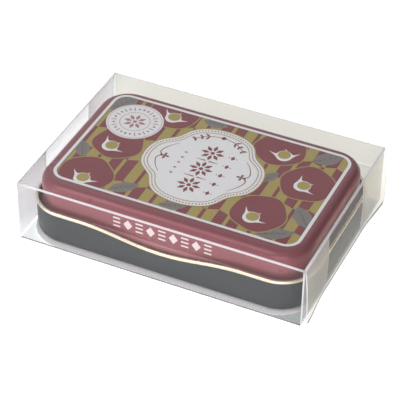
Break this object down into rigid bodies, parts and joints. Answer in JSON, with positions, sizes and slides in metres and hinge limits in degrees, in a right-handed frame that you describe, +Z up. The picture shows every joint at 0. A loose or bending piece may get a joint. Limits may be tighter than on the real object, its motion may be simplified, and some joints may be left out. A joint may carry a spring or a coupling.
{
  "type": "stamp ink pad",
  "caption": "Shallow hinged tin with an inked cloth pad inside, standing on a white card in a clear folded-film box with a lift-up cover and end closures.",
  "frame": {"origin": "centre of the underside of the clear box, on the table", "axes": "+X along the long side towards the right end, +Y towards the hinge at the back, +Z up; the thumb dip faces -Y"},
  "size_m": [0.1046, 0.0708, 0.023],
  "materials": {
    "clear_film": "clear glossy film",
    "white_card": "smooth white card",
    "lid_enamel": "printed lacquer over tinplate, satin gloss",
    "base_enamel": "grey-green lacquer, satin",
    "gold_lacquer": "gold lacquer over tinplate, bright",
    "steel": "plain tinplate and wire",
    "tray_plastic": "moulded plastic, fine matt",
    "felt": "pressed wool felt soaked with ink",
    "ink_cloth": "close woven cloth soaked with dark red ink"
  },
  "bodies": {
    "base": {"bottom_panel": "clear_film", "glue_flap": "clear_film", "left_tuck_tongue": "clear_film", "right_tuck_tongue": "clear_film", "back_lower_panel": "clear_film", "insert_card": "white_card", "base_shell": "base_enamel", "base_rim": "gold_lacquer", "base_knuckle_left": "steel", "base_knuckle_middle": "steel", "base_knuckle_right": "steel", "hinge_pin": "steel", "pad_tray": "tray_plastic", "felt_core": "felt", "ink_cloth": "ink_cloth", "pad_frame": "tray_plastic"},
    "lid": {"lid_shell": "lid_enamel", "lid_rib": "lid_enamel", "lid_hem": "steel", "lid_knuckle_left": "steel", "lid_knuckle_right": "steel"},
    "cover": {"top_panel": "clear_film", "front_panel": "clear_film", "back_upper_panel": "clear_film", "front_left_dust_flap": "clear_film", "front_right_dust_flap": "clear_film", "back_left_dust_flap": "clear_film", "back_right_dust_flap": "clear_film"},
    "left_end": {"left_closure": "clear_film"},
    "right_end": {"right_closure": "clear_film"}
  },
  "joints": [
    {"name": "lid_hinge", "type": "hinge", "parent": "base", "child": "lid", "pos_m": [0, 0.03115, 0.0129], "axis": [-1, 0, 0], "range_deg": [0, 95]},
    {"name": "cover_fold", "type": "hinge", "parent": "base", "child": "cover", "pos_m": [0, 0.0353, 0.0134], "axis": [-1, 0, 0], "range_deg": [0, 95]},
    {"name": "left_closure_fold", "type": "hinge", "parent": "cover", "child": "left_end", "pos_m": [-0.0504, 0, 0.0229], "axis": [0, 1, 0], "range_deg": [0, 100]},
    {"name": "right_closure_fold", "type": "hinge", "parent": "cover", "child": "right_end", "pos_m": [0.0504, 0, 0.0229], "axis": [0, -1, 0], "range_deg": [0, 100]}
  ],
  "couplings": [
    {"joint": "cover_fold", "follows": "lid_hinge", "ratio": 1}
  ]
}
